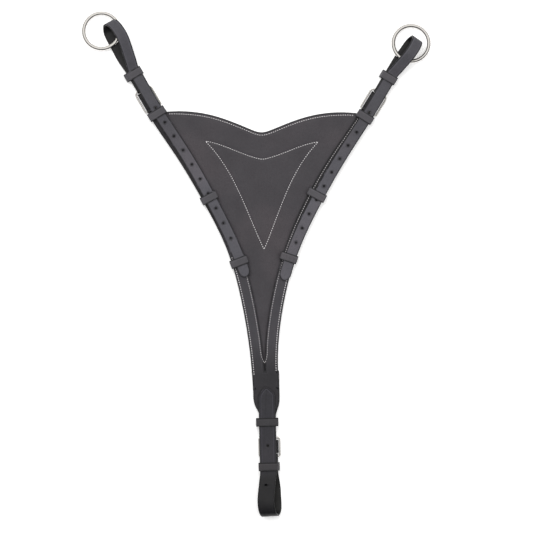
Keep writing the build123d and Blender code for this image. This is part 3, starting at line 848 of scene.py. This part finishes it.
def yoke_fold(strap, distance, shift, width):
    """The end of an arm or of the neck, folded down round its buckle bar and back under.

    distance is where that bar lies along the strap, and shift is where it lies across it.
    """
    route = [(-3.5, BAR_HEIGHT + BAR_FOLD), (-1.0, BAR_HEIGHT + BAR_FOLD)]
    for step in range(7):
        turn = pi / 2 - step / 6 * pi
        route.append((BAR_FOLD * cos(turn), BAR_HEIGHT + BAR_FOLD * sin(turn)))
    route += [(-2.0, 1.05), (-4.0, 1.25)]
    points = [(*strap.point(distance + d, shift, z), FOLD_THICKNESS) for d, z in route]
    path = smooth_path(points, 0.5)
    across = np.tile(strap.across, (len(path), 1))
    piece = sweep(f"{strap.word}_yoke_fold", path, across, width, 1.4, YOKE_LEATHER)
    cut_tongue_slot(piece, strap, distance, 0.0, SLOT_FLOOR)
    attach(piece, "bib")


def flap(strap, start, shift, width):
    """The thin lining that reaches on under the tongue, nearly up to the strap's fold."""
    half = width / 2
    ends = [(start, half), (FLAP_END, half), (FLAP_END, -half), (start, -half)]
    outline = np.array([strap.point(distance, shift + side)[:2] for distance, side in ends])
    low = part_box("yoke_outer_stitching_left")[0].z / MM - YOKE
    piece = plate(
        f"{strap.word}_flap", [evenly(outline, OUTLINE_STEP)], low, low + FLAP, 0.5, [FINE_CREASE],
        YOKE_LEATHER,
    )
    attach(piece, "bib")


# ---- Keepers ----
def band_axis(node):
    """The direction that a keeper's strap passes through it: its rims face that way."""
    total = np.zeros((3, 3))
    for polygon in nodes[node].data.polygons:
        normal = np.array(polygon.normal)
        total += polygon.area * np.outer(normal, normal)
    return np.linalg.eigh(total)[1][:, 0] * (1, 1, 0)


def keeper(node, body):
    """A leather band with rounded, creased rims, bent round its straps."""
    places = corners(node)
    axis = band_axis(node)
    axis /= np.linalg.norm(axis)
    across = np.array([axis[1], -axis[0], 0])
    reach = places @ axis
    middle = (reach.min() + reach.max()) / 2
    half = (reach.max() - reach.min()) / 2
    flat = np.column_stack([places @ across, places[:, 2]])
    flat = np.unique(flat.round(3), axis=0)
    hull = flat[convex_hull_2d([Vector(place) for place in flat])]
    if area(hull) < 0:
        hull = hull[::-1]
    loop = along_path(np.concatenate([hull, hull[:1]]), 0.5)[:-1]
    steps = np.roll(loop, -1, 0) - np.roll(loop, 1, 0)
    steps /= np.linalg.norm(steps, axis=1)[:, None]
    outward = np.stack([steps[:, 1], -steps[:, 0]], 1)
    section, edge = strap_section(2 * half, KEEPER_WALL, 0.45, 1.5)
    points, nearness_and_painted_light, faces = [], [], []
    for place, out in zip(loop, outward):
        for x, y in section:
            side = place + out * (y - KEEPER_WALL / 2)
            points.append(axis * (middle + x) + across * side[0] + np.array([0, 0, side[1]]))
        nearness_and_painted_light += list(edge)
    count, total = len(section), len(loop)
    for row in range(total):
        for i in range(count):
            a, b = row * count + i, row * count + (i + 1) % count
            c, d = (b + count) % (total * count), (a + count) % (total * count)
            faces.append((a, b, c, d))
    piece = make_mesh(f"{node}_band", points, faces, nearness_and_painted_light, KEEPER_LEATHER)
    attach(piece, body)
    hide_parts(node)


flat_bib()
LEFT = Strap(
    "left", loop_turn=2.2, bend=27.5, loop_length=62.0, lean=0.75, frame_shift=-2.8, joint_end=17.5
)
RIGHT = Strap(
    "right", loop_turn=3.6, bend=27.5, loop_length=51.0, lean=0.42, frame_shift=-1.6, joint_end=17.5
)
GIRTH = Strap(
    "girth", loop_turn=-2.0, bend=22.0, loop_length=50.0, lean=0.55, frame_shift=-2.0, joint_end=13.7
)
for strap, crease in ((LEFT, FINE_CREASE), (RIGHT, FINE_CREASE), (GIRTH, BROAD_CREASE)):
    strap_width = front_strap(strap, crease)
    loop = loop_piece(strap, strap_width)
    if strap is GIRTH:
        hole = round_hole(np.array([strap.point(*LOOP_HOLE)[:2]]))
        cut(loop, prism(hole[::-1], strap.front, strap.top + CUT_RISE))
for strap, shift in ((LEFT, -3.6), (RIGHT, -2.5)):
    yoke_fold(strap, ARM_BAR, shift, ARM_WIDTH)
    flap(strap, ARM_FLAP_START, shift, ARM_WIDTH)
yoke_fold(GIRTH, NECK_BAR, GIRTH.pivot[0], NECK_WIDTH)
flap(GIRTH, NECK_FLAP_START, GIRTH.frame_shift, NECK_FLAP_WIDTH)
for body, names in frame["record"]["behaviour"]["bodies"].items():
    for name in names:
        if "keeper" in name:
            keeper(name, body)
for name in nodes:
    if "frame" in name or "tongue" in name or "rein_ring" in name:
        nodes[name].data.materials.clear()
        nodes[name].data.materials.append(SHADED_TONGUE_NICKEL if "tongue" in name else NICKEL)


# ---- Floor, light and camera ----
def sky(world):
    """A soft box overhead and behind, and darkness low in front, which lines the metal."""
    world.use_nodes = True
    tree = world.node_tree
    place = tree.nodes.new("ShaderNodeTexCoord")
    split = tree.nodes.new("ShaderNodeSeparateXYZ")
    bands = tree.nodes.new("ShaderNodeValToRGB")
    tree.links.new(place.outputs["Generated"], split.inputs["Vector"])
    height = tree.nodes.new("ShaderNodeMath")
    height.operation = "MULTIPLY_ADD"
    tree.links.new(split.outputs["Y"], height.inputs[0])
    height.inputs[1].default_value = 0.45
    tree.links.new(split.outputs["Z"], height.inputs[2])
    tree.links.new(height.outputs["Value"], bands.inputs["Fac"])
    tree.links.new(bands.outputs["Color"], tree.nodes["Background"].inputs["Color"])
    first, last = bands.color_ramp.elements
    first.position, first.color = 0.1, (0.02, 0.02, 0.025, 1)
    last.position, last.color = 0.82, (1, 0.99, 0.97, 1)
    middle = bands.color_ramp.elements.new(0.6)
    middle.color = (0.05, 0.05, 0.06, 1)
    tree.nodes["Background"].inputs["Strength"].default_value = 1.0


def studio():
    """A pale floor, two soft lights and the camera that looks straight down."""
    scene = bpy.context.scene
    scene.view_settings.view_transform = "Standard"
    bpy.ops.mesh.primitive_plane_add(size=40, location=(0, 0, -BENCH * MM))
    floor = bpy.context.object
    floor.name = "studio_floor"
    n = Nodes("studio_floor")
    n.shader.inputs["Base Color"].default_value = (0.93, 0.93, 0.93, 1)
    n.shader.inputs["Roughness"].default_value = 0.9
    n.shader.inputs["Emission Color"].default_value = (1, 1, 1, 1)
    n.shader.inputs["Emission Strength"].default_value = 0.35
    floor.data.materials.append(n.material)
    scene.world = bpy.data.worlds.new("studio")
    sky(scene.world)
    for name, place, size, power in (
        ("key_light", (-0.5, 1.0, 1.9), 1.4, 26),
        ("fill_light", (1.1, -0.5, 1.7), 1.5, 13),
    ):
        light = bpy.data.lights.new(name, "AREA")
        light.shape = "SQUARE"
        light.size = size
        light.energy = power
        lamp = bpy.data.objects.new(name, light)
        lamp.location = place
        lamp.visible_glossy = False
        aim = Vector((0, -0.08, 0)) - Vector(place)
        lamp.rotation_euler = aim.to_track_quat("-Z", "Y").to_euler()
        scene.collection.objects.link(lamp)
    camera = bpy.data.objects.new("camera", bpy.data.cameras.new("camera"))
    view_width, distance = 0.640, 5.0
    camera.data.sensor_width = 36
    camera.data.lens = 36 * distance / view_width
    camera.data.clip_end = 20
    camera.location = (0.0024, -0.0799, distance)
    camera.rotation_euler = (0, 0, -atan(0.022))
    scene.collection.objects.link(camera)
    scene.camera = camera


studio()
